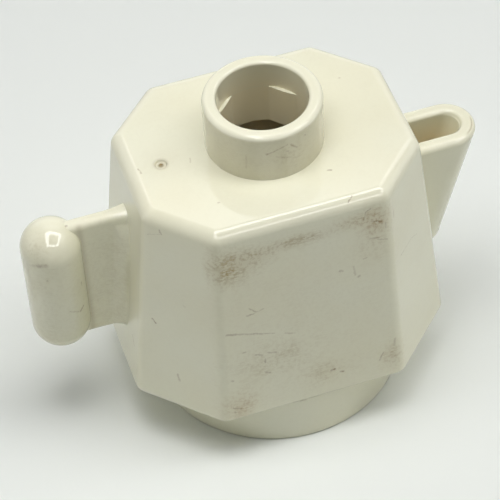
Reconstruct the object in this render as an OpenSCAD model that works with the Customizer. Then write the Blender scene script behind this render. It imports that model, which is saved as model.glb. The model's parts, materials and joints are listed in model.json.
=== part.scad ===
// Toy teapot: a hollow eight-sided pot with a stud-sized neck, trough spout, bar handle and socketed foot.
// Millimetres, +Z up. The origin is the middle of the foot's underside, and the spout points along +X.

/* [Pot] */
// Length over the end faces at the top
pot_len_top = 22.6; // [21:0.1:25]
// Length over the end faces at the lower edge
pot_len_base = 26.6; // [25:0.1:30]
// Width over the long faces at the top
pot_w_top = 17.9; // [16.5:0.1:20]
// Width over the long faces at the lower edge
pot_w_base = 21.3; // [20.5:0.1:24]
// Leg of the cut corners at the top
corner_top = 4.4; // [3.5:0.1:5]
// Leg of the cut corners at the lower edge
corner_base = 5.65; // [4:0.05:6.5]
// Height from the lower edge to the top
pot_h = 20; // [19:0.1:24]
// Thickness of the side walls
wall = 1.5; // [1.2:0.1:1.9]
// Thickness of the top wall
top_wall = 1.7; // [1.2:0.1:2.2]
// Rounding of the top edge and its corners
top_edge_r = 1.1; // [0.6:0.1:1.4]
// Rounding of the upright edges where they reach the lower edge
side_edge_r = 1.3; // [0.4:0.1:1.4]
// Height of the upright band along the lower edge
edge_band = 0.2; // [0.1:0.05:0.5]
// Diameter of the moulding mark sunk in the top
gate_d = 1; // [0.6:0.1:1.6]
// Depth of the moulding mark
gate_depth = 0.15; // [0.1:0.05:0.4]
// Distance from the pot's axis to the moulding mark, towards the handle
gate_reach = 8.4; // [7:0.1:9]

/* [Neck] */
// Outside diameter of the neck, and of the studs that the foot takes
stud_d = 9.35; // [9:0.05:9.8]
// Height of the neck above the pot's top
stud_h = 4.5; // [3.5:0.1:6]
// Diameter of the bore through the neck
neck_bore_d = 7.15; // [6.5:0.05:7.5]
// Rounding of the rim's outer edge
rim_r = 0.45; // [0.2:0.05:0.6]
// Rounding of the bore's mouth
mouth_r = 0.25; // [0.1:0.05:0.4]
// Wall of the spigot that goes down through the pot's top
spigot_wall = 0.6; // [0.4:0.05:0.8]

/* [Foot] */
// How far the foot's wall stands in from the pot's long faces
foot_setback = 0.05; // [0:0.05:0.8]
// Height of the foot, from the table to the pot's lower edge
foot_h = 4.9; // [4:0.1:7]
// Wall of the foot
foot_wall = 1.5; // [1.2:0.1:2]
// Thickness of the plate that closes the foot's top
plate_t = 1.4; // [1:0.1:2]
// Thickness of the floor that plugs the pot's underside
floor_t = 1.4; // [1:0.1:2]
// Wall of the socket's tube
socket_wall = 1.2; // [0.8:0.1:2]
// Room above a stud in the socket
socket_room = 0.4; // [0.2:0.1:1]

/* [Spout] */
// Width over the side walls
spout_w = 4.8; // [4:0.05:6]
// Wall of the trough
spout_wall = 1.2; // [0.8:0.05:1.4]
// Distance from the pot's axis to the tip, at the rim
tip_reach = 17.55; // [16:0.05:20]
// Distance from the pot's axis to the nose at the lower end
toe_reach = 14.8; // [14.4:0.1:15.5]
// Height of the rim above the pot's lower edge
spout_rim_rise = 16.2; // [14.5:0.1:17]
// Height of the lower end above the pot's lower edge
toe_rise = 4.5; // [2.5:0.1:5]
// Rounding of the lower end
toe_r = 1; // [0.5:0.1:1.5]
// Rounding of the rim's outer edge
lip_r = 0.5; // [0.2:0.05:0.8]
// Thickness of the trough's bottom
trough_floor = 1.5; // [1:0.1:2.5]

/* [Handle] */
// Diameter of the bar
bar_d = 4.8; // [4.4:0.1:6]
// Length of the bar over its round ends
bar_len = 13.3; // [12.8:0.1:15]
// Height of the bar's lower end above the pot's lower edge
bar_rise = 3.3; // [3:0.1:3.6]
// Distance from the pot's axis to the bar's axis
bar_reach = 17.85; // [17.2:0.05:20]
// Thickness of the web between the bar and the pot
web_t = 1.4; // [1:0.1:2]
// Height of the web over its round edges
web_h = 12.7; // [11:0.1:12.8]
// Height of the web's lower edge above the pot's lower edge
web_rise = 3.5; // [3.4:0.1:4.2]
// How much the web widens on each side where it meets the pot
flare_spread = 1; // [0.4:0.1:1.6]
// How far from the end face the web starts to widen
flare_depth = 1.1; // [0.6:0.1:1.6]

/* [Fits] */
// Clearance round the spigot, the plug and the tongues
fit_gap = 0.05; // [0.03:0.01:0.15]
// Height of the tongues that hold the spout and the handle
tongue_h = 6; // [4:0.5:8]

/* [Hidden] */
$fn = 64;
edge_fn = 32;
ivory = "#E8E3CE";
overcut = 1;
slice = 0.01;
tongue_root = 0.4;

z_base = foot_h;
z_top = foot_h + pot_h;
z_shoulder = z_top - top_edge_r;
z_band = z_base + edge_band;
z_ceiling = z_top - top_wall;
z_rim = z_base + spout_rim_rise;
z_toe = z_base + toe_rise;
foot_d = pot_w_base - 2 * foot_setback;
bar_r = bar_d / 2;
web_r = web_t / 2;
spout_r = spout_w / 2;
spigot_d = neck_bore_d + 2 * spigot_wall;
socket_depth = stud_h + socket_room;
web_z = [z_base + web_rise + web_r, z_base + web_rise + web_h - web_r];
web_mid = (web_z[0] + web_z[1]) / 2;
trough_mid = (z_toe + trough_floor + z_rim) / 2;

// A size of the pot's outside at height z, which changes in a straight line from the band to the shoulder
function pot_size(base, top, z) = top + (base - top) * (z_shoulder - z) / (z_shoulder - z_band);
function half_len(z) = pot_size(pot_len_base, pot_len_top, z) / 2;
function half_w(z) = pot_size(pot_w_base, pot_w_top, z) / 2;
function corner_leg(z) = pot_size(corner_base, corner_top, z);
end_lean = atan((pot_len_base - pot_len_top) / 2 / (z_shoulder - z_band));

// The leg that a 45 degree cut corner has left when its outline moves in by inset
function inset_leg(leg, inset) = leg - inset * (2 - sqrt(2));

// Corners of a rectangle with cut corners, anticlockwise from above
function octagon(len, w, leg) = [
    [len, w - leg], [len - leg, w], [leg - len, w], [-len, w - leg],
    [-len, leg - w], [leg - len, -w], [len - leg, -w], [len, leg - w]
];

// The pot's outline at height z, moved in by inset
function pot_octagon(z, inset) =
    octagon(half_len(z) - inset, half_w(z) - inset, inset_leg(corner_leg(z), inset));

// Points of an arc, for outlines
function arc(centre, r, from, to, steps = 8) =
    [for (i = [0:steps]) let (a = from + (to - from) * i / steps) centre + r * [cos(a), sin(a)]];

// A closed solid through a list of rings with equal numbers of points
module loft(rings) {
    n = len(rings[0]);
    last = (len(rings) - 1) * n;
    points = [for (ring = rings, p = ring) p];
    first_cap = [for (i = [0:n - 1]) i];
    last_cap = [for (i = [n - 1:-1:0]) last + i];
    skin = [
        for (k = [0:n:last - 1], i = [0:n - 1])
            let (j = (i + 1) % n)
            [k + i, k + n + i, k + n + j, k + j]
    ];
    polyhedron(points, concat([first_cap, last_cap], skin));
}

// A block inside the pot's outline, moved in by inset, between two heights
module pot_block(z_low, z_high, inset) {
    loft([for (z = [z_low, z_high]) [for (p = pot_octagon(z, inset)) [p.x, p.y, z]]]);
}

// A round puck as high as the rounding of its upper edge
module puck(r, edge) {
    profile = concat([[0, 0], [r, 0]], arc([r - edge, 0], edge, 0, 90), [[0, edge]]);
    rotate_extrude($fn = edge_fn) polygon(profile);
}

// Moves to the pot's +X end face at height z, with local +X square to the face and pointing out
module on_end_face(z) {
    translate([half_len(z), 0, z]) rotate([0, -end_lean, 0]) children();
}

// A tongue through the end wall, grown by gap to make its slot
module tongue(z, y, t, gap) {
    depth = wall * cos(end_lean);
    root = gap > 0 ? overcut : tongue_root;
    reach = gap > 0 ? depth + overcut : depth;
    on_end_face(z) translate([-reach, y - t / 2 - gap, -tongue_h / 2 - gap])
        cube([reach + root, t + 2 * gap, tongue_h + 2 * gap]);
}

module spout_tongues(gap) {
    for (side = [-1, 1]) tongue(trough_mid, side * (spout_r - spout_wall / 2), spout_wall, gap);
}

module handle_tongue(gap) {
    mirror([1, 0, 0]) tongue(web_mid, 0, web_t, gap);
}

// The pot's outside, with its rounded top edge and upright edges
module pot_form() {
    hull() {
        for (p = pot_octagon(z_shoulder, top_edge_r)) translate([p.x, p.y, z_shoulder])
            puck(top_edge_r, top_edge_r);
        for (p = pot_octagon(z_band, side_edge_r)) translate([p.x, p.y, z_base])
            cylinder(r = side_edge_r, h = edge_band, $fn = edge_fn);
    }
}

module body_shell() {
    color(ivory) difference() {
        pot_form();
        pot_block(z_base - overcut, z_ceiling, wall);
        translate([0, 0, z_ceiling - overcut])
            cylinder(d = spigot_d + 2 * fit_gap, h = top_wall + 2 * overcut);
        translate([-gate_reach, 0, z_top - gate_depth]) cylinder(d = gate_d, h = overcut);
        spout_tongues(fit_gap);
        handle_tongue(fit_gap);
    }
}

// The neck stands on the pot's top with a shoulder, and its spigot ends level with the ceiling
module neck_collar() {
    stud_r = stud_d / 2;
    bore_r = neck_bore_d / 2;
    z_rim_top = z_top + stud_h;
    profile = concat(
        [[bore_r, z_ceiling], [spigot_d / 2, z_ceiling], [spigot_d / 2, z_top], [stud_r, z_top]],
        arc([stud_r - rim_r, z_rim_top - rim_r], rim_r, 0, 90),
        arc([bore_r + mouth_r, z_rim_top - mouth_r], mouth_r, 90, 180)
    );
    color(ivory) rotate_extrude() polygon(profile);
}

// Where the middle of the spout's round nose is at height z
function nose_x(z) = toe_reach + (tip_reach - toe_reach) * (z - z_toe) / (z_rim - z_toe) - spout_r;

module spout() {
    back_x = half_len(z_rim) - spout_w;
    channel_r = spout_r - spout_wall;
    channel_z = [z_toe + trough_floor, z_rim + overcut];
    inside = pot_len_base;
    color(ivory) {
        difference() {
            hull() {
                for (x = [back_x, nose_x(z_rim)]) translate([x, 0, z_rim - lip_r])
                    puck(spout_r, lip_r);
                for (x = [back_x, nose_x(z_toe)]) translate([x, 0, z_toe + toe_r]) mirror([0, 0, 1])
                    puck(spout_r, toe_r);
            }
            hull() for (z = channel_z, x = [back_x - spout_w, nose_x(z)]) translate([x, 0, z])
                cylinder(r = channel_r, h = slice, $fn = edge_fn);
            on_end_face(trough_mid) translate([-inside, -inside, -inside])
                cube([inside, 2 * inside, 2 * inside]);
        }
        spout_tongues(0);
    }
}

// How much wider the web is, on each side, at distance d from the end face
function flare(d) = flare_spread * max(0, 1 - d / flare_depth);

// A ring of the web's outline, with round ends, parallel to the end face and at distance d from it
function web_ring(d, steps = 12) = [
    for (side = [1, 0], i = [0:steps])
        let (
            a = i * 180 / steps + (side == 1 ? 0 : 180),
            r = web_r + flare(d),
            z = web_z[side] + (side == 1 ? -1 : 1) * flare(d)
        )
        [
            half_len(z) + d / cos(end_lean) - sin(end_lean) * r * sin(a),
            r * cos(a),
            z + cos(end_lean) * r * sin(a)
        ]
];

module handle() {
    bar_z = [z_base + bar_rise + bar_r, z_base + bar_rise + bar_len - bar_r];
    web_end = (bar_reach - half_len(web_mid)) * cos(end_lean);
    bar = concat(arc([0, bar_z[0]], bar_r, -90, 0), arc([0, bar_z[1]], bar_r, 0, 90));
    color(ivory) {
        mirror([1, 0, 0]) {
            loft([for (d = [0, flare_depth, web_end]) web_ring(d)]);
            translate([bar_reach, 0, 0]) rotate_extrude() polygon(bar);
        }
        handle_tongue(0);
    }
}

// The round foot with its plate, the floor that plugs the pot, and the socket that takes a stud
module base_foot() {
    color(ivory) difference() {
        union() {
            difference() {
                cylinder(d = foot_d, h = foot_h);
                translate([0, 0, -overcut])
                    cylinder(d = foot_d - 2 * foot_wall, h = foot_h - plate_t + overcut);
            }
            cylinder(d = stud_d + 2 * socket_wall, h = max(foot_h, socket_depth) + floor_t);
            pot_block(z_base, z_base + floor_t, wall + fit_gap);
        }
        translate([0, 0, -overcut]) cylinder(d = stud_d, h = socket_depth + overcut);
    }
}

body_shell();
neck_collar();
spout();
handle();
base_foot();
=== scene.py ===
"""Toy teapot of aged ivory plastic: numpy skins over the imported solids, their worn finish, and a small
studio."""
import json
from math import cos, pi, radians, sin, sqrt

import bpy
import numpy as np
from mathutils import Matrix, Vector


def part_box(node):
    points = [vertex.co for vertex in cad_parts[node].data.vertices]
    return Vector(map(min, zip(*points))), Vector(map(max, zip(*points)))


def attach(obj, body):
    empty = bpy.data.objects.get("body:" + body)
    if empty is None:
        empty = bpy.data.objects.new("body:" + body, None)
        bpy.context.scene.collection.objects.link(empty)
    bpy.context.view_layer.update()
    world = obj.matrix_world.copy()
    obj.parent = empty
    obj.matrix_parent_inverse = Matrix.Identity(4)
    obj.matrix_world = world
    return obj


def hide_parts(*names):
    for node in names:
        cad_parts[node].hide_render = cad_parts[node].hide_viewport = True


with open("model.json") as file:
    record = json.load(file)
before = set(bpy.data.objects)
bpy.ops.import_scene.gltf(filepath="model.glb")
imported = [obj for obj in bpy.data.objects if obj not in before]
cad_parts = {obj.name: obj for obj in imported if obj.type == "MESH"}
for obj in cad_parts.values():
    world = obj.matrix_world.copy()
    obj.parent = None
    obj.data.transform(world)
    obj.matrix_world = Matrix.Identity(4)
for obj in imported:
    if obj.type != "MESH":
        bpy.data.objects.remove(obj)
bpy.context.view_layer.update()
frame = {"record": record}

# Sizes, in millimetres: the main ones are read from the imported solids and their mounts
MM = 0.001


def box_mm(node_name):
    """A CAD node's lowest and highest corner."""
    return [np.array(corner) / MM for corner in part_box(node_name)]


pot_low, pot_high = box_mm("body_shell")
neck_low, neck_high = box_mm("neck_collar")
foot_high = box_mm("base_foot")[1]
spout_low, spout_high = box_mm("spout")
handle_low, handle_high = box_mm("handle")
mount_dims = {mount["name"]: mount["dims"] for mount in frame["record"]["mounts"]}

# Pot: half length, half width and corner leg at the lower edge and at the top
BASE_SIZE = np.array([pot_high[0], pot_high[1], 5.65])
TOP_SIZE = np.array([11.3, 8.95, 4.4])
WALL = 1.5
TOP_EDGE_R = 1.1
SIDE_EDGE_R = 1.3
EDGE_BAND = 0.2
LOWER_EDGE_R = 0.2
CAVITY_CORNER_R = 0.3
z_base, z_top = pot_low[2], pot_high[2]
z_shoulder = z_top - TOP_EDGE_R
z_band = z_base + EDGE_BAND
FACE_LEAN = radians(5.5)

# Moulding mark on the pot's top
GATE_REACH = 8.4
GATE_R = 0.5
GATE_DEPTH = 0.15
GATE_SLOPE = 0.12
STUMP_R = 0.2
STUMP_SLOPE = 0.1
STUMP_SHARE = 0.75

# Neck
stud_r = neck_high[0]
bore_r = mount_dims["neck_bore"]["r_mm"]
z_neck, z_ceiling = neck_high[2], neck_low[2]
RIM_R = 0.45
MOUTH_R = 0.25
SPIGOT_WALL = 0.6
FIT_GAP = 0.05
Z_LEDGE = 26.9
PAD_HALF_TURN = radians(20)
PAD_RISE = 0.28
spigot_r = bore_r + SPIGOT_WALL
hole_r = spigot_r + FIT_GAP

# Foot
foot_r = foot_high[1]
z_floor = foot_high[2]
socket_r = mount_dims["foot_socket"]["r_mm"]
socket_depth = mount_dims["foot_socket"]["length_mm"]
FOOT_WALL = 1.5
PLATE_T = 1.4
SOCKET_WALL = 1.2
FOOT_EDGE_R = 0.18

# Spout
tip_x, spout_r = spout_high[0], spout_high[1]
z_toe, z_spout = spout_low[2], spout_high[2]
TOE_X = 14.8
SPOUT_WALL = 1.2
TROUGH_FLOOR = 1.5
TOE_R = 1.0
LIP_R = 0.5
TROUGH_MOUTH_R = 0.35
SPOUT_TENON = 1.0
TROUGH_BACK = 0.4
LINE_TILT = radians(24)
LINE_SPREAD = radians(7)
LINE_DEPTH = 0.05

# Handle
bar_r = handle_high[1]
bar_x = handle_low[0] + bar_r
bar_z = (handle_low[2] + bar_r, handle_high[2] - bar_r)
WEB_R = 0.62
WEB_RISE = 3.5
WEB_H = 12.7
FLARE_SPREAD = 1.0
FLARE_DEPTH = 1.1
FLARE_R = 0.3
FLARE_ARCH = 4
FLARE_SOFTNESS = 0.01
FLARE_SINK = 0.03
FLARE_BELOW = 0.1
FLARE_UNDER_TOP = 0.1
SWELL = 0.28
SWELL_DEPTH = 1.7
WEB_POWER = 0.75
WEB_TENON = 0.5


# Curves and grids

def crowd(start, stop, count):
    """Values from start to stop that crowd towards both, as the cosine of an even walk does."""
    return start + (stop - start) * (0.5 - 0.5 * np.cos(np.linspace(0, pi, count)))


def arc(centre, radius, start, stop, count=10):
    """Points on a circle round the centre, from one angle in degrees to another in even steps."""
    angle = np.radians(np.linspace(start, stop, count))
    return np.stack([centre[0] + radius * np.cos(angle), centre[1] + radius * np.sin(angle)], -1)


def path(*runs):
    """One profile through runs of points: each gap between two runs is a straight line, and repeats
    are dropped."""
    points = np.concatenate([np.atleast_2d(np.asarray(run, float)) for run in runs])
    step = np.linalg.norm(np.diff(points, axis=0), axis=1)
    return points[np.concatenate([[True], step > 1e-6])]


def straight(start, stop, count):
    """Points on the line from start to stop, crowded towards its ends."""
    share = crowd(0, 1, count)[:, None]
    return np.asarray(start) * (1 - share) + np.asarray(stop) * share


def revolve(profile, steps, centre_x=0.0):
    """Rings of a turned form: each (radius, height) point of the profile carried round an upright
    axis."""
    angle = np.linspace(0, 2 * pi, steps, endpoint=False)
    radius, height = np.asarray(profile, float).T
    ring = np.stack([np.cos(angle), np.sin(angle)], -1)
    flat = radius[:, None, None] * ring + np.array([centre_x, 0.0])
    return np.concatenate([flat, np.broadcast_to(height[:, None, None], (*flat.shape[:2], 1))], -1)


def blend(ring_a, ring_b, shares):
    """Rings between two rings: each point slides in a straight line from the first ring to the second."""
    share = np.asarray(shares, float)[:, None, None]
    return ring_a * (1 - share) + ring_b * share


def skin(name, rings, loop=False):
    """A closed mesh over rings[level, step]: quads join each ring to the next and run all the way
    round it.

    Either the last ring joins the first, or a fan of triangles closes each end ring at its middle point.
    """
    levels, steps = rings.shape[:2]
    index = np.arange(levels * steps).reshape(levels, steps)
    points = rings.reshape(-1, 3)
    rows = np.vstack([index, index[:1]]) if loop else index
    here, there = rows[:-1], rows[1:]
    quads = np.stack([here, there, np.roll(there, -1, 1), np.roll(here, -1, 1)], -1).reshape(-1, 4)
    faces = quads.tolist()
    if not loop:
        first, last = np.full(steps, len(points)), np.full(steps, len(points) + 1)
        points = np.vstack([points, rings[0].mean(0), rings[-1].mean(0)])
        faces += np.stack([first, index[0], np.roll(index[0], -1)], -1).tolist()
        faces += np.stack([index[-1], last, np.roll(index[-1], -1)], -1).tolist()
    mesh = bpy.data.meshes.new(name)
    mesh.from_pydata((points * MM).tolist(), [], faces)
    piece = bpy.data.objects.new(name, mesh)
    bpy.context.scene.collection.objects.link(piece)
    return piece


def soften(piece, crease=32):
    """Smooth shading, with edges sharper than the crease angle in degrees left hard."""
    mesh = piece.data
    mesh.polygons.foreach_set("use_smooth", np.ones(len(mesh.polygons), bool))
    mesh.set_sharp_from_angle(angle=radians(crease))
    mesh.update()


def places(piece):
    """The piece's points in millimetres, as an array."""
    flat = np.empty(len(piece.data.vertices) * 3, np.float32)
    piece.data.vertices.foreach_get("co", flat)
    return flat.reshape(-1, 3).astype(float) / MM


def paint(piece, name, values):
    """Stores one number for each point of the piece, for its material to read."""
    layer = piece.data.attributes.new(name, "FLOAT", "POINT")
    layer.data.foreach_set("value", np.asarray(values, np.float32))


# The pot's outline

def pot_size(z):
    """Half length, half width and corner leg at height z: a straight line from the band to the
    shoulder."""
    share = (z_shoulder - np.asarray(z, float)) / (z_shoulder - z_band)
    return TOP_SIZE + (BASE_SIZE - TOP_SIZE) * share[..., None]


def octagon_walk(corner_steps=9):
    """Where the points of a rounded octagon lie: (corner before, corner after, share between them,
    normal's angle).

    Eight flat sides alternate with eight corners. On a side the share runs between its two corners; on a
    corner it stays and the normal turns by 45 degrees. The long sides have more points, and the handle's
    side has a fine middle, where the moulding mark lies.
    """
    counts = (30, 22, 66, 22, 30, 22, 66, 22)
    before, after, share, turn = [], [], [], []
    for side, count in enumerate(counts):
        run = crowd(0, 1, count + 2)[1:-1]
        if side == 4:
            run = np.unique(np.concatenate([run, 0.5 + np.linspace(-0.11, 0.11, 33)]))
        bend = np.linspace(side, side + 1, corner_steps)
        before += [side - 1] * len(run) + [side] * corner_steps
        after += [side] * (len(run) + corner_steps)
        share += [*run, *np.zeros(corner_steps)]
        turn += [*np.full(len(run), side), *bend]
    return np.array(before), np.array(after), np.array(share), np.array(turn) * pi / 4


walk_before, walk_after, walk_share, walk_turn = octagon_walk()


def pot_rings(outline_z, inset, radius, z):
    """Rings of the pot's outline as it is at outline_z, moved in by inset, with round corners, drawn
    at height z.

    The corner centres lie on the outline moved in by inset and radius. A ring's point is such a centre,
    or on a flat side a blend of two, plus the radius along the outward normal. A 45 degree leg shrinks by
    2 - root 2 of the inset.
    """
    outline_z, inset, radius, z = np.broadcast_arrays(*np.atleast_1d(outline_z, inset, radius, z))
    within = (inset + radius)[:, None]
    half_len, half_w, leg = (pot_size(outline_z) - within * np.array([1, 1, 2 - sqrt(2)])).T
    x = np.stack([half_len, half_len - leg, leg - half_len, -half_len], -1)
    y = np.stack([half_w - leg, half_w, half_w, half_w - leg], -1)
    corners = np.stack([np.hstack([x, x[:, ::-1]]), np.hstack([y, -y[:, ::-1]])], -1)
    share = walk_share[:, None]
    flat = corners[:, walk_before] * (1 - share) + corners[:, walk_after] * share
    flat = flat + radius[:, None, None] * np.stack([np.cos(walk_turn), np.sin(walk_turn)], -1)
    return np.concatenate([flat, np.broadcast_to(z[:, None, None], (*flat.shape[:2], 1))], -1)


def round_ring(radius, z, like):
    """A circle whose points lie at the same angles round the axis as another ring's."""
    angle = np.arctan2(like[:, 1], like[:, 0])
    return np.stack([radius * np.cos(angle), radius * np.sin(angle), np.full_like(angle, z)], -1)


# Pieces

def make_pot():
    """The pot's shell as one loop: out over the top, round its edge, down the leaning sides, in under
    the lower edge, up inside, in along the ceiling and up through the neck's hole. The top sinks by
    the moulding mark's profile."""
    tilt = np.radians(np.linspace(4, 90 - np.degrees(FACE_LEAN), 15))
    edge = pot_rings(z_shoulder, TOP_EDGE_R * (1 - np.sin(tilt)), TOP_EDGE_R * np.sin(tilt),
                     z_shoulder + TOP_EDGE_R * np.cos(tilt))
    rim = edge[0] * [1, 1, 0] + [0, 0, z_top]
    hole = round_ring(hole_r, z_top, rim)
    mark = (GATE_REACH - hole_r) / (TOP_SIZE[0] - TOP_EDGE_R - hole_r)
    over = np.unique(np.concatenate([crowd(0, 1, 24), np.linspace(mark - 0.12, mark + 0.12, 31)]))
    plate = blend(hole, rim, over)
    away = np.hypot(plate[..., 0] + GATE_REACH, plate[..., 1])
    bowl = np.clip((GATE_R - away) / GATE_SLOPE, 0, 1)
    stump = np.clip((STUMP_R - away) / STUMP_SLOPE, 0, 1)
    plate[..., 2] -= GATE_DEPTH * (bowl ** 2 * (3 - 2 * bowl) - STUMP_SHARE * stump ** 2 * (3 - 2 * stump))

    down = crowd(0, 1, 64)
    sink = TOP_EDGE_R * (1 - cos(FACE_LEAN))
    z_side = z_shoulder + TOP_EDGE_R * sin(FACE_LEAN)
    corner_r = (TOP_EDGE_R - sink) * (1 - down) + SIDE_EDGE_R * down
    sides = pot_rings(z_shoulder + (z_band - z_shoulder) * down, sink * (1 - down), corner_r,
                      z_side + (z_band - z_side) * down)
    curl = np.radians(np.linspace(0, 90, 6))
    low_in = LOWER_EDGE_R * (1 - np.cos(curl))
    lower = pot_rings(z_band, low_in, SIDE_EDGE_R - low_in, z_base + LOWER_EDGE_R * (1 - np.sin(curl)))
    up = crowd(z_base, z_ceiling, 20)
    inside = pot_rings(up, WALL, CAVITY_CORNER_R, up)
    under = blend(lower[-1], inside[0], [0.1, 0.5, 0.9])
    mouth = round_ring(hole_r, z_ceiling, inside[-1])
    ceiling = blend(inside[-1], mouth, crowd(0, 1, 10)[1:])
    bore = blend(mouth, hole, [0.33, 0.67])
    rings = np.concatenate([plate, edge[1:], sides[1:], lower[1:], under, inside, ceiling, bore])
    return skin("pot_shell", rings, loop=True)


def make_neck():
    """The neck turned from its profile: rim, outside, shoulder on the pot's top, spigot, bore and
    rounded mouth. Below a narrow ledge the bore has four low pads at its diagonals, where a point
    moves in by a parabola of its angle."""
    profile = path(
        straight((bore_r + MOUTH_R, z_neck), (stud_r - RIM_R, z_neck), 6),
        arc((stud_r - RIM_R, z_neck - RIM_R), RIM_R, 90, 0, 14),
        straight((stud_r, z_neck - RIM_R), (stud_r, z_top), 22),
        straight((stud_r, z_top), (spigot_r, z_top), 4),
        straight((spigot_r, z_top), (spigot_r, z_ceiling), 6),
        straight((spigot_r, z_ceiling), (bore_r, z_ceiling), 4),
        straight((bore_r, z_ceiling), (bore_r, Z_LEDGE), 14),
        straight((bore_r, Z_LEDGE + 0.01), (bore_r, z_neck - MOUTH_R), 14),
        arc((bore_r + MOUTH_R, z_neck - MOUTH_R), MOUTH_R, 180, 90, 9)[:-1],
    )
    rings = revolve(profile, 240)
    angle = np.arctan2(rings[0, :, 1], rings[0, :, 0])
    off_diagonal = angle % (pi / 2) - pi / 4
    pad = PAD_RISE * np.clip(1 - (off_diagonal / PAD_HALF_TURN) ** 2, 0, 1)
    low_bore = (np.abs(profile[:, 0] - bore_r) < 1e-6) & (profile[:, 1] <= Z_LEDGE + 1e-6)
    rings[low_bore, :, :2] *= (1 - pad / bore_r)[:, None]
    return skin("neck_ring", rings, loop=True)


def make_foot():
    """The foot as one stack of rings from the floor's middle to the socket's middle: the floor that
    plugs the pot follows the octagon's radius by angle, and the foot, its plate and the socket's
    tube are turned."""
    steps = 256
    angle = np.linspace(0, 2 * pi, steps, endpoint=False)
    across, along = np.abs(np.cos(angle)), np.abs(np.sin(angle))

    def plug(z):
        """The octagon inside the pot's wall at height z, as a ring: the nearest of its sides along
        each angle."""
        half_len, half_w, leg = pot_size(z) - (WALL + FIT_GAP) * np.array([1, 1, 2 - sqrt(2)])
        with np.errstate(divide="ignore"):
            reach = np.minimum(np.minimum(half_len / across, half_w / along),
                               (half_len + half_w - leg) / (across + along))
        return np.stack([reach * np.cos(angle), reach * np.sin(angle), np.full(steps, z)], -1)

    top, low = plug(z_floor), plug(z_base)
    middle = np.broadcast_to(np.array([0, 0, z_floor]), top.shape)
    z_plate = z_base - PLATE_T
    tube_r = socket_r + SOCKET_WALL
    turned = revolve(path(
        straight((foot_r, z_base), (foot_r, FOOT_EDGE_R), 20),
        arc((foot_r - FOOT_EDGE_R, FOOT_EDGE_R), FOOT_EDGE_R, 0, -90, 7),
        straight((foot_r - FOOT_EDGE_R, 0), (foot_r - FOOT_WALL, 0), 4),
        straight((foot_r - FOOT_WALL, 0), (foot_r - FOOT_WALL, z_plate), 8),
        straight((foot_r - FOOT_WALL, z_plate), (tube_r, z_plate), 6),
        straight((tube_r, z_plate), (tube_r, 0), 8),
        straight((tube_r, 0), (socket_r, 0), 4),
        straight((socket_r, 0), (socket_r, socket_depth), 8),
        straight((socket_r, socket_depth), (0.4, socket_depth), 5),
    ), steps)
    rings = np.concatenate([
        blend(middle, top, [0.1, 0.4, 0.7, 0.95, 1]), blend(top, low, [0.3, 0.7, 1]),
        blend(low, turned[0], [0.35, 0.7]), turned,
    ])
    return skin("base_ring", rings)


def line_window(x, y):
    """How much of the lip's moulding line shows at a place round the nose: 1 from the near side to the
    tip."""
    return np.clip((0.57 - np.abs(np.arctan2(y, np.maximum(x, 1e-6)) + 0.48)) / 0.2, 0, 1)


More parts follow.
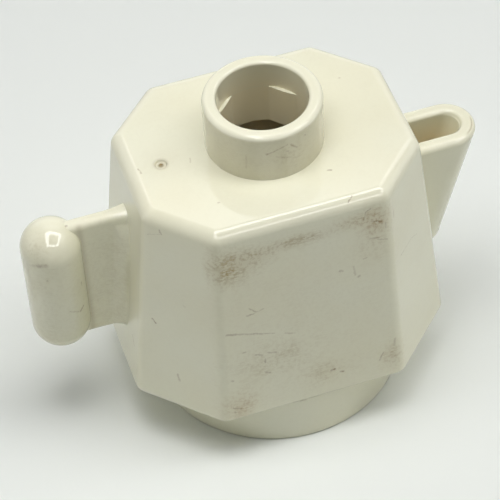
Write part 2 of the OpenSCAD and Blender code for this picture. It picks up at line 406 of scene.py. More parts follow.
def make_spout():
    """The trough: rings of one outline, a round nose with straight sides, stacked up the inside from
    the bottom's middle, over the rounded rim, down the leaning outside and in under the rounded
    toe. Its back is a tenon in the pot's wall. A fine moulding line dips the rim round the nose."""
    nose_turn = np.linspace(-pi / 2, pi / 2, 57)
    side = crowd(0, 1, 26)[1:]
    across = np.linspace(1, -1, 14)[1:-1]
    share = np.concatenate([np.zeros(57), side, np.ones(12), side[::-1]])
    out_x = np.concatenate([np.cos(nose_turn), np.zeros(25 + 12 + 25)])
    out_y = np.concatenate([np.sin(nose_turn), np.ones(25), across, -np.ones(25)])

    def trough_rings(tenon, nose, radius, z):
        """Rings with the nose's middle at x = nose, and a back that lies in the pot's end wall by
        tenon."""
        columns = np.broadcast_arrays(*np.atleast_1d(tenon, nose, radius, z))
        tenon, nose, radius, z = (column[:, None] for column in columns)
        back = pot_size(z[:, 0])[:, :1] - tenon
        x = nose * (1 - share) + back * share + radius * out_x
        return np.stack([x, radius * out_y, np.broadcast_to(z, x.shape)], -1)

    def nose_x(z):
        """The middle of the nose at height z, on the straight line from the toe to the rim."""
        return TOE_X + (tip_x - TOE_X) * (z - z_toe) / (z_spout - z_toe) - spout_r

    channel_r = spout_r - SPOUT_WALL
    z_low = z_toe + TROUGH_FLOOR
    tip = nose_x(z_spout)
    up = crowd(z_low, z_spout - TROUGH_MOUTH_R, 30)
    inside = trough_rings(TROUGH_BACK, nose_x(up), channel_r, up)
    curl = np.radians(np.linspace(0, 90, 8))[1:]
    mouth = trough_rings(TROUGH_BACK, tip, channel_r + TROUGH_MOUTH_R * (1 - np.cos(curl)),
                         z_spout - TROUGH_MOUTH_R * (1 - np.sin(curl)))
    flat = np.linspace(channel_r + TROUGH_MOUTH_R, spout_r - LIP_R, 9)[1:]
    rim = trough_rings(np.linspace(TROUGH_BACK, SPOUT_TENON, 9)[1:], tip, flat, z_spout)
    roll = np.radians(np.linspace(0, 90, 19))[1:]
    lip = trough_rings(SPOUT_TENON, tip, spout_r - LIP_R + LIP_R * np.sin(roll),
                       z_spout - LIP_R * (1 - np.cos(roll)))
    down = crowd(0, 1, 34)
    outside = trough_rings(SPOUT_TENON, tip + (nose_x(z_toe) - tip) * down, spout_r,
                           z_spout - LIP_R + (z_toe + TOE_R - z_spout + LIP_R) * down)
    hook = np.radians(np.linspace(0, 90, 12))[1:]
    toe = trough_rings(SPOUT_TENON, nose_x(z_toe), spout_r - TOE_R * (1 - np.cos(hook)),
                       z_toe + TOE_R * (1 - np.sin(hook)))

    line = np.exp(-((roll - LINE_TILT) / LINE_SPREAD) ** 2)[:, None]
    lip[..., 2] -= LINE_DEPTH * line * line_window(out_x, out_y) * (share == 0)
    bottom = np.broadcast_to(inside[0].mean(0), inside[0].shape)
    under = np.broadcast_to(toe[-1].mean(0), toe[-1].shape)
    return skin("spout_trough", np.concatenate([
        blend(bottom, inside[0], [0.1, 0.5, 0.9]), inside, mouth, rim, lip, outside[1:], toe,
        blend(toe[-1], under, [0.1, 0.5, 0.9]),
    ]))


def make_handle():
    """The bar, a turned capsule, joined to the web and to its flare. Both are rings parallel to the
    pot's leaning end face: two rounded ends, squared off on the web, joined by straight sides. The
    web swells a little towards the pot. The flare, which has a long arch on top, widens towards it
    in a straight line with a soft start and ends in a hollow round. All become one skin, so that
    they meet in crisp creases."""
    bar_profile = path(
        arc((0, bar_z[1]), bar_r, 88, 0, 24),
        straight((bar_r, bar_z[1]), (bar_r, bar_z[0]), 30),
        arc((0, bar_z[0]), bar_r, 0, -88, 24),
    )
    bar = skin("bar_handle", revolve(bar_profile, 112, bar_x))

    lean = np.arctan2(BASE_SIZE[0] - TOP_SIZE[0], z_shoulder - z_band)
    half = np.linspace(0, pi, 25)
    run = crowd(0, 1, 44)[1:-1]
    high_share = np.concatenate([np.ones(25), 1 - run, np.zeros(25), run])
    turn_y = np.concatenate([np.cos(half), -np.ones(42), -np.cos(half), np.ones(42)])
    turn_z = np.concatenate([np.sin(half), np.zeros(42), -np.sin(half), np.zeros(42)])

    def end_rings(away, radius, foot_z, arch_z, arch, power):
        """Rings at a distance from the end face, from the height foot_z to arch_z: a half round of
        that radius below and a half oval as high as arch above. Their sines and cosines are raised
        to a power, below 1 for squarer corners."""
        away, radius, foot_z, arch_z, arch, power = (
            a[:, None] for a in np.broadcast_arrays(away, radius, foot_z, arch_z, arch, power))
        out_y, out_z = (np.sign(turn) * np.abs(turn) ** power for turn in (turn_y, turn_z))
        rise = np.where(turn_z > 0, arch, radius) * out_z
        z_mid = foot_z + radius + (arch_z - arch - foot_z - radius) * high_share
        x = pot_size(z_mid)[..., 0] + away / cos(lean) - sin(lean) * rise
        return np.stack([-x, radius * out_y, z_mid + cos(lean) * rise], -1)

    web_z = z_base + WEB_RISE, z_base + WEB_RISE + WEB_H
    reach = (-bar_x - pot_size((bar_z[0] + bar_z[1]) / 2)[0]) * cos(lean)
    # Inside the wall the web stops short of the flare, so that their end faces don't share a plane
    away = np.concatenate([[-0.8 * WEB_TENON, -0.4 * WEB_TENON], np.linspace(0, FLARE_R, 10),
                           np.linspace(FLARE_R, reach, 34)[1:]])
    swell = SWELL * np.clip(1 - away / SWELL_DEPTH, 0, 1) ** 1.5
    web = skin("bar_web", end_rings(away, WEB_R + swell, web_z[0], web_z[1] + swell / 2, WEB_R + swell,
                                    WEB_POWER))

    away = np.concatenate([[-WEB_TENON, -0.5 * WEB_TENON], np.linspace(0, 1.5 * FLARE_DEPTH, 36)])
    near = np.minimum(1 - away / FLARE_DEPTH, 1)
    wide = FLARE_SPREAD * (near + np.sqrt(near ** 2 + FLARE_SOFTNESS)) / 2 - FLARE_SINK
    wide += FLARE_R * (1 - np.sqrt(1 - np.clip(1 - away / FLARE_R, 0, 1) ** 2))
    flare = skin("bar_flare", end_rings(away, WEB_R + wide, web_z[0] + FLARE_SINK - FLARE_BELOW * wide,
                                        web_z[1] - FLARE_UNDER_TOP, WEB_R + FLARE_ARCH * wide, 1))

    for other in (web, flare):
        join = bar.modifiers.new("join", "BOOLEAN")
        join.operation, join.solver, join.object = "UNION", "EXACT", other
    whole = bpy.data.meshes.new_from_object(bar.evaluated_get(bpy.context.evaluated_depsgraph_get()))
    bar.modifiers.clear()
    for other in (web, flare):
        bpy.data.objects.remove(other)
    bar.data = whole
    return bar


pot, neck, foot, spout, handle = make_pot(), make_neck(), make_foot(), make_spout(), make_handle()


# Wear, painted shade and painted inside light, as numbers on the points

def fade(distance, width):
    """A soft hump: 1 at no distance, falling as the exponential of minus the square of distance over
    width."""
    return np.exp(-(distance / width) ** 2)


# Faint haze of fine scuffs that covers every piece
HAZE = 0.04

# Dirt rubbed into the pot's long sides: x and height of a patch's middle, its reach along x and up, its
# strength, and how brown it is
FRONT_DIRT = (
    (-6.3, 21.6, 2.0, 1.6, 0.95, 0.3), (-4.0, 22.0, 1.8, 0.9, 0.65, 0.3), (-0.6, 22.5, 2.2, 0.45, 0.85, 0.2),
    (5.9, 22.2, 1.1, 1.3, 1.0, 0.7), (4.0, 22.8, 1.8, 0.6, 0.65, 0.4), (5.6, 19.8, 1.4, 1.4, 0.25, 0.3),
    (-6.2, 6.4, 1.3, 1.3, 0.7, 1.0), (6.9, 7.2, 0.9, 1.3, 0.62, 0.6), (-3.2, 10.4, 2.8, 2.0, 0.36, 0.3),
    (1.2, 7.6, 2.2, 1.2, 0.32, 0.3), (-1.0, 14.0, 8.0, 9.0, 0.08, 0.2),
)
BACK_DIRT = (
    (6.2, 21.8, 1.5, 1.4, 0.8, 0.2), (1.2, 22.6, 2.4, 0.45, 0.6, 0.1), (-6.5, 6.7, 1.4, 1.3, 0.8, 0.7),
    (2.4, 11.0, 3.0, 2.4, 0.25, 0.3),
)
# Soft dirt on the neck's front: x and height of its middle, and its reach along both
NECK_DIRT, NECK_DIRT_REACH = (0.5, 27.2), (1.3, 0.9)
# Handling dirt on the bar's dome: its middle and its reach
DOME_DIRT, DOME_DIRT_REACH = (-19.2, -1.3, 20.6), 1.0


def wear_pot():
    """Scuff: each patch of dirt is a soft hump over x and height, on a long side and just past its
    upright edges. Tan: how brown the dirt is, the mean of the humps there. Stain: yellowed plastic
    round the moulding mark, darkest in its middle. Inside light: the share of painted warm light, by
    how far inside the pot a point lies."""
    p = places(pot)
    half_len, half_w, leg = pot_size(np.clip(p[:, 2], z_base, z_shoulder)).T
    near_side = np.clip((np.abs(p[:, 1]) - half_w + 0.9) / 0.5, 0, 1)
    scuff, brown = np.zeros(len(p)), np.zeros(len(p))
    for patches, facing in ((FRONT_DIRT, -1), (BACK_DIRT, 1)):
        along, height, wide, tall, much, tint = np.array(patches).T
        hump = much * fade(np.hypot((p[:, :1] - along) / wide, (p[:, 2:] - height) / tall), 1)
        here = near_side * (p[:, 1] * facing > 0)
        scuff += here * hump.sum(1)
        brown += here * (hump * tint).sum(1)
    paint(pot, "scuff", np.minimum(HAZE + scuff, 1))
    paint(pot, "tan", brown / np.maximum(scuff, 1e-6))
    away = np.hypot(p[:, 0] + GATE_REACH, p[:, 1]) + 50 * (p[:, 2] < z_top - 0.5)
    paint(pot, "stain_and_shade", 0.1 * fade(away, 1.6) + 0.24 * fade(away - GATE_R, 0.13) + fade(away, 0.23))
    inward = np.minimum(np.minimum(half_len - np.abs(p[:, 0]), half_w - np.abs(p[:, 1])),
                        (half_len + half_w - leg - np.abs(p[:, 0]) - np.abs(p[:, 1])) / sqrt(2))
    paint(pot, "depth", np.clip((inward - 0.9) / 0.4, 0, 1) * (p[:, 2] < z_top - 0.3))


def wear_neck():
    """Inside light: the share of painted warm light, 0 on the rim, the ledge and outside, rising down
    the bore. Scuff: a soft patch on the front, and a trace all round. Stain and shade: painted
    shade, an even veil on the outside, strongest on the front."""
    p = places(neck)
    radius = np.hypot(p[:, 0], p[:, 1])
    down = np.clip((z_neck - MOUTH_R - p[:, 2]) / 2.5, 0, 1)
    paint(neck, "depth", 0.6 * down * (radius < bore_r + 0.01) * (np.abs(p[:, 2] - Z_LEDGE) > 0.02))
    along, up = ((p[:, [0, 2]] - NECK_DIRT) / NECK_DIRT_REACH).T
    patch = fade(np.hypot(along, up), 1) * (p[:, 1] < 0)
    outside = radius > stud_r - 0.05
    paint(neck, "scuff", (0.12 + 0.33 * patch) * outside)
    # Painted shade: a darker, warmer veil on the collar's outside, strongest on its front
    paint(neck, "stain_and_shade", 0.15 * np.clip(0.5 - p[:, 1] / stud_r, 0, 1) * outside)


def wear_spout():
    """Inside light: the share of painted warm light, 0 on the rim and outside, rising down the channel.
    Stain: the fine moulding line round the lip's nose. Scuff: a faint haze all over."""
    p = places(spout)
    nose = TOE_X + (tip_x - TOE_X) * (p[:, 2] - z_toe) / (z_spout - z_toe) - spout_r
    out = np.hypot(np.maximum(p[:, 0] - nose, 0), p[:, 1])
    channel = (out < spout_r - SPOUT_WALL + 0.02) & (p[:, 2] > z_toe + TROUGH_FLOOR - 0.01)
    paint(spout, "depth", np.clip((z_spout - TROUGH_MOUTH_R - p[:, 2]) / 2.5, 0, 1) * channel)
    from_tip = np.maximum(p[:, 0] - tip_x + spout_r, 0)
    from_line = np.hypot(from_tip, p[:, 1]) - (spout_r - LIP_R + LIP_R * sin(LINE_TILT))
    paint(spout, "scuff", np.full(len(p), HAZE))
    shown = line_window(from_tip, p[:, 1]) * (p[:, 2] > z_spout - 0.3)
    paint(spout, "stain_and_shade", 0.4 * fade(from_line, 0.06) * shown)


def wear_handle():
    """Scuff: handling dirt on the outer side of the bar's dome, and a trace on the sides of bar and
    web. Stain and shade: brownish dirt in the creases between bar and web, with painted crease shade."""
    p = places(handle)
    out = np.clip((bar_x - p[:, 0]) / bar_r, 0, 1)
    dome = fade(np.linalg.norm(p - DOME_DIRT, axis=1), DOME_DIRT_REACH)
    web = np.clip((p[:, 0] - bar_x - bar_r) / 0.6, 0, 1)
    paint(handle, "scuff", HAZE + 0.35 * dome + 0.05 * out + 0.1 * (p[:, 2] < bar_z[1]) + 0.06 * web)
    crease = np.hypot(p[:, 0] - bar_x - sqrt(bar_r ** 2 - WEB_R ** 2), np.abs(p[:, 1]) - WEB_R)
    # Dirt and painted shade: a dark line along the creases between bar and web
    paint(handle, "stain_and_shade", 0.3 * fade(crease, 0.28))


def wear_foot():
    """Scuff: the same faint haze all over."""
    paint(foot, "scuff", np.full(len(foot.data.vertices), HAZE))


wear_pot()
wear_neck()
wear_spout()
wear_handle()
wear_foot()


# Finish

def linear(hex_colour):
    """An sRGB hex value as linear red, green, blue and full alpha."""
    channel = np.array([int(hex_colour[i:i + 2], 16) for i in (1, 3, 5)]) / 255
    return (*np.where(channel <= 0.04045, channel / 12.92, ((channel + 0.055) / 1.055) ** 2.4), 1.0)


def add(tree, kind, sockets=None, **settings):
    """Adds a node with its settings, and fills its sockets: each takes a value or another node's
    output."""
    made = tree.nodes.new(kind)
    for key, value in settings.items():
        setattr(made, key, value)
    for key, value in (sockets or {}).items():
        if isinstance(value, bpy.types.NodeSocket):
            tree.links.new(value, made.inputs[key])
        else:
            made.inputs[key].default_value = value
    return made


def remap(tree, value, low, high, start, stop, **settings):
    """Adds a clamped range: a value from low to high becomes start to stop."""
    sockets = {"Value": value, 1: low, 2: high, 3: start, 4: stop}
    return add(tree, "ShaderNodeMapRange", sockets, **settings).outputs[0]


def tint(tree, share, first, second):
    """Adds a blend of two colours, with that share of the second."""
    return add(tree, "ShaderNodeMix", {0: share, 6: first, 7: second}, data_type="RGBA").outputs[2]


def reckon(tree, operation, *values, clamp=False):
    """Adds a sum, a product or the like of some values."""
    sockets = dict(enumerate(values))
    return add(tree, "ShaderNodeMath", sockets, operation=operation, use_clamp=clamp).outputs[0]


def painted(tree, name):
    """Adds a reader for the numbers painted on the points under that name."""
    return add(tree, "ShaderNodeAttribute", attribute_name=name).outputs["Fac"]


IVORY = "#E9E7D0"
YELLOWED = "#E4DEBF"
GRIME = "#937C2E"
TAN_DIRT = "#A67E34"
# Colour of the scratches, and of the painted shadow line under the pot's lower edge
SCRATCH_AND_SHADOW = "#7A5718"
# Brown of the real stains, also used for painted shade on the neck's front and in the handle's creases
STAIN_AND_SHADE = "#86713F"
# Painted light: a warmer, brighter tint for the depths of the bore, the channel and the pot, in place of
# bounce light and light through the thin walls
PAINTED_INSIDE_LIGHT = "#F0E3C3"
CLEAN_ROUGHNESS = 0.03
DIRTY_ROUGHNESS = 0.34
# Pattern sizes in mm: clouds of yellow, mottled dirt, its blotches, streaks that are six times as long as
# high, the skin's peel, and how far a scratch strays from its straight line. The mottle and the peel are
# drawn as coarse as this because finer grain would not show at the picture's scale
CLOUD, MOTTLE, BLOTCH, STREAK, PEEL, STRAY = 9, 0.3, 2, 1.2, 0.5, 0.12
PEEL_DEPTH = 0.02


def ivory_abs(name, marks=()):
    """Moulded ABS, ivory and aged: even pale plastic with a glossy skin that mirrors the lamps
    sharply, faintly yellowed in clouds, with soft mottled dirt rubbed into its worn corners, where
    it goes dull, and faint scratches. Painted warm light brightens its hollows, and painted shade
    darkens the neck's front, the handle's creases and a line on the foot under the pot.

    marks are scratches, and on the foot a painted shadow line: (start, end, half width, strength), in
    mm. Each is the distance to a straight segment.
    """
    material = bpy.data.materials.new(name)
    material.use_nodes = True
    tree = material.node_tree
    tree.nodes.clear()
    spot = add(tree, "ShaderNodeTexCoord").outputs["Object"]

    def noise(size_mm, where=spot, **sockets):
        """Adds a cloudy pattern with features of about that size."""
        sockets = {"Vector": where, "Scale": 1 / (size_mm * MM)} | sockets
        return add(tree, "ShaderNodeTexNoise", sockets).outputs

    cloud, blotch, peel = (noise(size, Detail=2)[0] for size in (CLOUD, BLOTCH, PEEL))
    mottle = noise(MOTTLE, Detail=3, Roughness=0.6)
    level = add(tree, "ShaderNodeMapping", {"Vector": spot, "Scale": (1, 1, 6)}).outputs[0]
    streak = noise(STREAK, level, Detail=3, Roughness=0.6, Distortion=0.5)[0]
    base = tint(tree, remap(tree, cloud, 0.35, 0.7, 0, 0.4), linear(IVORY), linear(YELLOWED))

    # Dirt: an even veil, soft specks on top of it and patches of hair scratches, which follow one level
    # of the streaks, all by the scuff painted on the points
    speck = remap(tree, mottle[0], 0.46, 0.66, 0.2, 0.6)
    hair = reckon(tree, "COMPARE", streak, 0.5, 0.06)
    rubbed = reckon(tree, "MULTIPLY_ADD", hair, remap(tree, blotch, 0.48, 0.62, 0, 0.34), speck)
    grime = reckon(tree, "MULTIPLY", rubbed, painted(tree, "scuff"), clamp=True)
    soil = tint(tree, painted(tree, "tan"), linear(GRIME), linear(TAN_DIRT))
    dirty = tint(tree, grime, base, soil)
    # Stains: real ones round the moulding mark and along the spout's lip line, and painted shade on the
    # neck's front and in the handle's creases
    stained_and_shaded = tint(tree, painted(tree, "stain_and_shade"), dirty, linear(STAIN_AND_SHADE))
    # Painted light: the warm, brighter tint blended in deep inside the hollows
    colour = tint(tree, painted(tree, "depth"), stained_and_shaded, linear(PAINTED_INSIDE_LIGHT))

    def vector(operation, *values):
        """Adds a step of vector arithmetic."""
        return add(tree, "ShaderNodeVectorMath", dict(enumerate(values)), operation=operation).outputs

    scratch_and_shadow = None
    if marks:
        strayed = vector("MULTIPLY_ADD", mottle["Color"], (2 * STRAY * MM,) * 3, spot)[0]
        strayed = vector("SUBTRACT", strayed, (STRAY * MM,) * 3)[0]
    for start, end, half_width, strength in marks:
        start, run = np.asarray(start) * MM, (np.asarray(end) - start) * MM
        from_start = vector("SUBTRACT", strayed, start)[0]
        along = vector("DOT_PRODUCT", from_start, run / max(run @ run, 1e-12))["Value"]
        held = reckon(tree, "ADD", along, 0, clamp=True)
        nearest = add(tree, "ShaderNodeVectorMath", {0: run, "Scale": held}, operation="SCALE").outputs[0]
        away = vector("DISTANCE", from_start, nearest)["Value"]
        mark_line = remap(tree, away, half_width * MM, 0, 0, 1.25 * strength, interpolation_type="SMOOTHSTEP")
        scratch_and_shadow = mark_line if scratch_and_shadow is None else reckon(tree, "MAXIMUM", scratch_and_shadow, mark_line)
    if marks:
        scratch_and_shadow = reckon(tree, "MULTIPLY", scratch_and_shadow, remap(tree, mottle[0], 0.36, 0.58, 0.5, 1))
        # Scratches, and on the foot a painted shadow line, in the scratch colour
        colour = tint(tree, scratch_and_shadow, colour, linear(SCRATCH_AND_SHADOW))

    normal = add(tree, "ShaderNodeBump", {"Height": peel, "Strength": 0.05, "Distance": PEEL_DEPTH * MM})
    shader = add(tree, "ShaderNodeBsdfPrincipled", {
        "Base Color": colour, "IOR": 1.53, "Normal": normal.outputs[0],
        "Roughness": remap(tree, grime, 0.15, 0.7, CLEAN_ROUGHNESS, DIRTY_ROUGHNESS),
    })
    add(tree, "ShaderNodeOutputMaterial", {"Surface": shader.outputs[0]})
    return material


def on_side(side_angle, along, z):
    """A point on the pot's flat side whose normal has that angle, along mm anticlockwise of its
    middle."""
    half_len, half_w, leg = pot_size(min(z, z_shoulder))
    a = radians(side_angle)
    slant = (half_len + half_w - leg) / sqrt(2)
    reach = {0: half_len, 90: half_w, 180: half_len, 270: half_w}.get(side_angle, slant)
    return np.array([reach * cos(a) - along * sin(a), reach * sin(a) + along * cos(a), z])


def on_round(centre_x, radius, angle, z):
    """A point on an upright cylinder, at an angle in degrees."""
    return np.array([centre_x + radius * cos(radians(angle)), radius * sin(radians(angle)), z])


def round_marks(centre_x, radius, lines):
    """Scratches, and painted shadow lines, on an upright cylinder, as marks in space."""
    return [(on_round(centre_x, radius, a, z), on_round(centre_x, radius, b, w), half, much)
            for a, z, b, w, half, much in lines]


# Scratches and nicks on the pot's sides: side, then along and height of both ends, half width and
# strength
POT_SCRATCHES = (
    (270, -6.75, 14.63, -6.0, 14.42, 0.17, 0.36), (270, -6.0, 14.42, -4.6, 13.98, 0.13, 0.24),
    (270, -4.6, 13.98, -3.85, 13.73, 0.12, 0.38), (270, -3.85, 13.73, -2.9, 13.42, 0.11, 0.25),
    (270, -2.05, 13.08, -1.24, 12.8, 0.11, 0.22), (270, -4.73, 16.79, -4.23, 16.25, 0.12, 0.3),
    (270, -5.02, 16.08, -4.43, 16.15, 0.12, 0.32), (270, -4.43, 16.15, -3.6, 16.37, 0.11, 0.2),
    (270, -4.56, 11.6, -4.04, 11.4, 0.14, 0.3), (270, -3.57, 11.49, -2.92, 11.24, 0.15, 0.3),
    (270, -5.59, 12.22, -5.38, 12.2, 0.13, 0.26), (270, -3.84, 10.87, -3.87, 10.42, 0.12, 0.42),
    (270, -3.97, 9.45, -3.52, 9.19, 0.14, 0.3), (270, -6.71, 9.44, -6.63, 9.4, 0.16, 0.35),
    (270, 1.52, 7.5, 1.86, 7.53, 0.15, 0.65), (270, 2.27, 7.03, 2.56, 7.0, 0.15, 0.5),
    (270, 2.76, 18.12, 2.96, 18.01, 0.18, 0.3), (270, 3.87, 18.2, 3.99, 17.26, 0.14, 0.22),
    (270, 4.24, 16.99, 4.35, 17.05, 0.14, 0.3), (270, 4.73, 18.7, 4.99, 18.75, 0.13, 0.25),
    (270, 5.67, 22.33, 6.34, 22.09, 0.13, 0.55), (270, 6.64, 21.85, 6.62, 21.25, 0.1, 0.3),
    (270, 5.48, 23.71, 5.06, 23.47, 0.12, 0.4), (270, 5.06, 23.47, 4.88, 22.68, 0.1, 0.25),
    (270, 5.37, 20.66, 6.1, 20.51, 0.12, 0.3), (270, 5.94, 20.34, 6.75, 20.08, 0.1, 0.32),
    (270, -6.82, 6.3, -6.16, 6.03, 0.13, 0.4), (270, -6.75, 5.85, -6.68, 5.8, 0.15, 0.35),
    (270, 6.03, 7.87, 5.66, 7.03, 0.13, 0.3), (270, 7.06, 9.08, 6.99, 8.31, 0.16, 0.22),
    (315, -0.71, 22.35, -0.83, 21.7, 0.1, 0.22), (315, -0.3, 16.93, 1.77, 16.93, 0.07, 0.22),
    (315, 1.77, 16.93, 2.57, 16.51, 0.07, 0.18), (225, -4.24, 13.96, -3.92, 13.55, 0.13, 0.5),
    (225, -2.09, 8.6, -1.93, 7.94, 0.16, 0.25), (225, -3.34, 23.83, -3.19, 23.45, 0.13, 0.35),
    (225, -4.39, 22.94, -3.3, 23.4, 0.07, 0.2), (225, -1.41, 16.61, -1.3, 16.55, 0.15, 0.14),
    (90, -3.0, 12.0, 2.4, 13.1, 0.1, 0.3), (90, 4.0, 18.4, 4.9, 17.6, 0.12, 0.3),
    (90, -5.2, 7.6, -4.5, 7.5, 0.14, 0.4), (135, 1.0, 15.2, 1.4, 14.6, 0.12, 0.35),
    (45, -1.2, 10.1, -0.6, 10.5, 0.12, 0.3), (0, -2.5, 22.4, -1.6, 22.0, 0.1, 0.25),
    (180, 3.1, 9.6, 3.6, 8.9, 0.12, 0.3),
)
# Nicks on the pot's top and its edge: both ends, half width and strength
TOP_SCRATCHES = (
    ((3.84, -8.55, 24.64), (4.26, -8.2, 24.84), 0.1, 0.5),
    ((3.4, -5.1, z_top), (3.7, -5.2, z_top), 0.12, 0.5),
    ((-6.1, -0.2, z_top), (-6.2, -0.6, z_top), 0.1, 0.25),
    ((-10.2, 0.1, z_top), (-10.1, -0.4, z_top), 0.1, 0.4),
    ((7.6, 4.1, z_top), (7.7, 4.1, z_top), 0.12, 0.3),
    ((-5.5, -5.4, z_top), (-5.4, -5.4, z_top), 0.12, 0.3),
)
# Scratches on the neck and the bar, and the painted shadow line on the foot: angle and height of both ends,
# half width and strength
NECK_SCRATCHES = (
    (255.8, 27.76, 265.5, 28.07, 0.1, 0.28), (265.5, 28.07, 275.1, 28.38, 0.1, 0.24),
    (255.2, 27.73, 256.2, 27.78, 0.17, 0.4), (278.9, 28.21, 284.7, 27.66, 0.15, 0.32),
    (273.4, 27.68, 276, 27.66, 0.12, 0.25), (263.9, 27.33, 278.4, 26.88, 0.13, 0.2),
    (294.8, 28.47, 295.3, 28.45, 0.13, 0.35), (235.8, 27.45, 235.1, 26.12, 0.12, 0.14),
)
BAR_SCRATCHES = (
    (231.4, 19.32, 247.6, 19.43, 0.32, 0.3), (216, 19.07, 226, 19.25, 0.28, 0.14),
    (246, 17.7, 246.5, 17.7, 0.14, 0.3), (316.9, 15.85, 315.4, 15.56, 0.11, 0.4),
    (302.1, 12.96, 312.1, 13.2, 0.15, 0.55), (280.2, 13.62, 291, 13.3, 0.11, 0.18),
    (291, 13.3, 302.1, 12.96, 0.11, 0.2), (120, 15.0, 128, 14.2, 0.12, 0.35),
)
# Painted shadow: a dark line on the foot just under the pot's lower edge, where the foot meets the pot
FOOT_SEAM_SHADOW = ((254.5, 4.8, 260, 4.82, 0.09, 0.3), (260, 4.82, 266, 4.82, 0.11, 0.4))
# Nick on the top of the handle's web: both ends, half width and strength
WEB_NICK = ((-16.45, -0.2, 21.06), (-16.38, -0.2, 21.06), 0.14, 0.5)
pot_marks = [(on_side(side, a, z), on_side(side, b, w), half, much)
             for side, a, z, b, w, half, much in POT_SCRATCHES]
neck_marks = round_marks(0, stud_r, NECK_SCRATCHES)
bar_marks = [*round_marks(bar_x, bar_r, BAR_SCRATCHES), WEB_NICK]
foot_seam_shadow_marks = round_marks(0, foot_r, FOOT_SEAM_SHADOW)

for piece, node_name, finish in (
    (pot, "body_shell", ivory_abs("aged_ivory_abs_scuffed", [*pot_marks, *TOP_SCRATCHES])),
    (neck, "neck_collar", ivory_abs("aged_ivory_abs_scratched", neck_marks)),
    (handle, "handle", ivory_abs("aged_ivory_abs_handled", bar_marks)),
    (spout, "spout", ivory_abs("aged_ivory_abs_moulded")),
    (foot, "base_foot", ivory_abs("aged_ivory_abs_seam_shaded", foot_seam_shadow_marks)),
):
    soften(piece)
    piece.data.materials.clear()
    piece.data.materials.append(finish)
    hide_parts(node_name)
    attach(piece, "root")


# Studio

def make_floor():
    """A flat pale table top, an even grid of points just under the foot."""
    line = np.linspace(-2500, 2500, 9)
    x, y = np.meshgrid(line, line, indexing="ij")
    points = np.stack([x, y, np.full_like(x, -0.02)], -1).reshape(-1, 3) * MM
    index = np.arange(81).reshape(9, 9)
    quads = np.stack([index[:-1, :-1], index[1:, :-1], index[1:, 1:], index[:-1, 1:]], -1).reshape(-1, 4)
    mesh = bpy.data.meshes.new("table_top")
    mesh.from_pydata(points.tolist(), [], quads.tolist())
    floor = bpy.data.objects.new("table_top", mesh)
    bpy.context.scene.collection.objects.link(floor)
    # Matt white laminate: an even, slightly cool white without gloss
    material = bpy.data.materials.new("matt_white_laminate")
    material.use_nodes = True
    shader = material.node_tree.nodes["Principled BSDF"]
    shader.inputs["Base Color"].default_value = linear("#EBEEEA")
    shader.inputs["Roughness"].default_value = 0.7
    shader.inputs["Specular IOR Level"].default_value = 0.2
    mesh.materials.append(material)


CAMERA_AZIMUTH, CAMERA_ELEVATION, CAMERA_ROLL = radians(-15.69), radians(48.32), radians(-3.48)
AXIS_PASSES = (2.109, -7.731)
CAMERA_DISTANCE = 199.43
LENS = 167.7

back = np.array([sin(CAMERA_AZIMUTH) * cos(CAMERA_ELEVATION), -cos(CAMERA_AZIMUTH) * cos(CAMERA_ELEVATION),
                 sin(CAMERA_ELEVATION)])
level_right = np.array([cos(CAMERA_AZIMUTH), sin(CAMERA_AZIMUTH), 0])
level_up = np.cross(back, level_right)
right = cos(CAMERA_ROLL) * level_right + sin(CAMERA_ROLL) * level_up
up = cos(CAMERA_ROLL) * level_up - sin(CAMERA_ROLL) * level_right


def place(name, data, x_axis, y_axis, z_axis, where_mm):
    """Adds an object whose own axes point along the given ones, at a place in mm."""
    thing = bpy.data.objects.new(name, data)
    bpy.context.scene.collection.objects.link(thing)
    turn = np.eye(4)
    turn[:3, :3] = np.stack([x_axis, y_axis, z_axis], -1)
    turn[:3, 3] = np.asarray(where_mm) * MM
    thing.matrix_world = Matrix(turn.tolist())
    return thing


def make_camera():
    """The photograph's view: the axis passes the origin at a small offset, and the lens is long."""
    data = bpy.data.cameras.new("camera")
    data.sensor_width, data.lens = 36, LENS
    data.clip_start, data.clip_end = 0.01, 20
    where = CAMERA_DISTANCE * back - AXIS_PASSES[0] * right - AXIS_PASSES[1] * up
    bpy.context.scene.camera = place("camera", data, right, up, back, where)


# Lamps: place to the camera's right, ahead of it and up, width and length, all in mm, then radiance, what
# it is for and whether it is turned to face the object. The light comes from soft panels and cards. Shiny
# skin mirrors the cards, a square ring of four strips, which draws the twin lines along the rounded
# edges, and a panel that fades away from the camera, which brightens the front of the pot's top.
LAMPS = (
    ("overhead", (150, 0, 402), (450, 150), 5.0, "light", False),
    ("overhead_left", (-225, 0, 402), (300, 150), 1.57, "light", False),
    ("close_key", (-20, -20, 120), (50, 50), 4.0, "light", False),
    ("back_card", (0, 400, 160), (700, 300), 0.63, "both", True),
    ("left_card", (-400, 0, 160), (300, 500), 0.71, "both", True),
    ("right_card", (400, 0, 160), (300, 500), 0.75, "both", True),
    ("ring_far", (116, 47, 400), (437, 90), 7.0, "mirror", False),
    ("ring_near", (116, -350, 400), (437, 90), 7.0, "mirror", False),
    ("ring_left", (-57, -151, 400), (90, 307), 7.0, "mirror", False),
    ("ring_right", (290, -151, 400), (90, 307), 7.0, "mirror", False),
    ("fading_panel", (60, 300, 401), (500, 160), 2.3, "mirror", False),
)
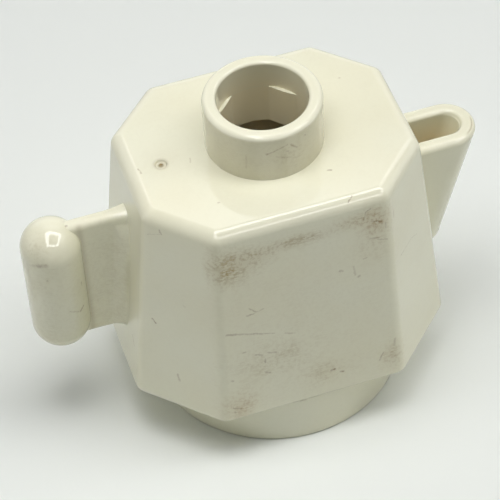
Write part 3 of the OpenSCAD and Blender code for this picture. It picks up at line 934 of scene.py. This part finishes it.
# The room's light, and its brightness where it is seen or mirrored
ROOM_LIGHT, ROOM_SEEN = 0.04, 0.9
# Height that the cards face
AIM_HEIGHT = 12


def make_lights():
    """Each lamp is a soft rectangle: those overhead face down, and the cards round the object face it."""
    forward = np.array([-sin(CAMERA_AZIMUTH), cos(CAMERA_AZIMUTH), 0])
    for name, (aside, ahead, high), size, radiance, use, aimed in LAMPS:
        data = bpy.data.lights.new(name, "AREA")
        data.shape = "RECTANGLE"
        data.size, data.size_y = size[0] * MM, size[1] * MM
        data.energy = radiance * pi * data.size * data.size_y
        where = aside * level_right + ahead * forward + [0, 0, high]
        out, across = np.array([0, 0, 1.0]), level_right
        if aimed:
            out = (where - [0, 0, AIM_HEIGHT]) / np.linalg.norm(where - [0, 0, AIM_HEIGHT])
            across = np.cross([0, 0, 1], out) / np.linalg.norm(np.cross([0, 0, 1], out))
        lamp = place(name, data, across, np.cross(out, across), out, where)
        lamp.visible_glossy, lamp.visible_diffuse = use != "light", use != "mirror"
        if name == "fading_panel":
            data.use_nodes = True
            tree = data.node_tree
            place_on = add(tree, "ShaderNodeNewGeometry").outputs["Parametric"]
            along = add(tree, "ShaderNodeSeparateXYZ", {0: place_on}).outputs[1]
            fading = remap(tree, along, 0.55, 1, 1, 0, interpolation_type="SMOOTHSTEP")
            tree.links.new(fading, tree.nodes["Emission"].inputs["Strength"])

    world = bpy.data.worlds.new("room")
    bpy.context.scene.world = world
    world.use_nodes = True
    tree = world.node_tree
    tree.nodes.clear()
    ray = add(tree, "ShaderNodeLightPath").outputs
    mirrored = reckon(tree, "MAXIMUM", ray["Is Glossy Ray"], ray["Is Transmission Ray"])
    seen = reckon(tree, "MAXIMUM", ray["Is Camera Ray"], mirrored)
    strength = remap(tree, seen, 0, 1, ROOM_LIGHT, ROOM_SEEN)
    pale = add(tree, "ShaderNodeBackground", {"Color": linear("#F6FAF8"), "Strength": strength})
    add(tree, "ShaderNodeOutputWorld", {"Surface": pale.outputs[0]})


make_floor()
make_camera()
make_lights()
bpy.context.scene.view_settings.view_transform = "Standard"
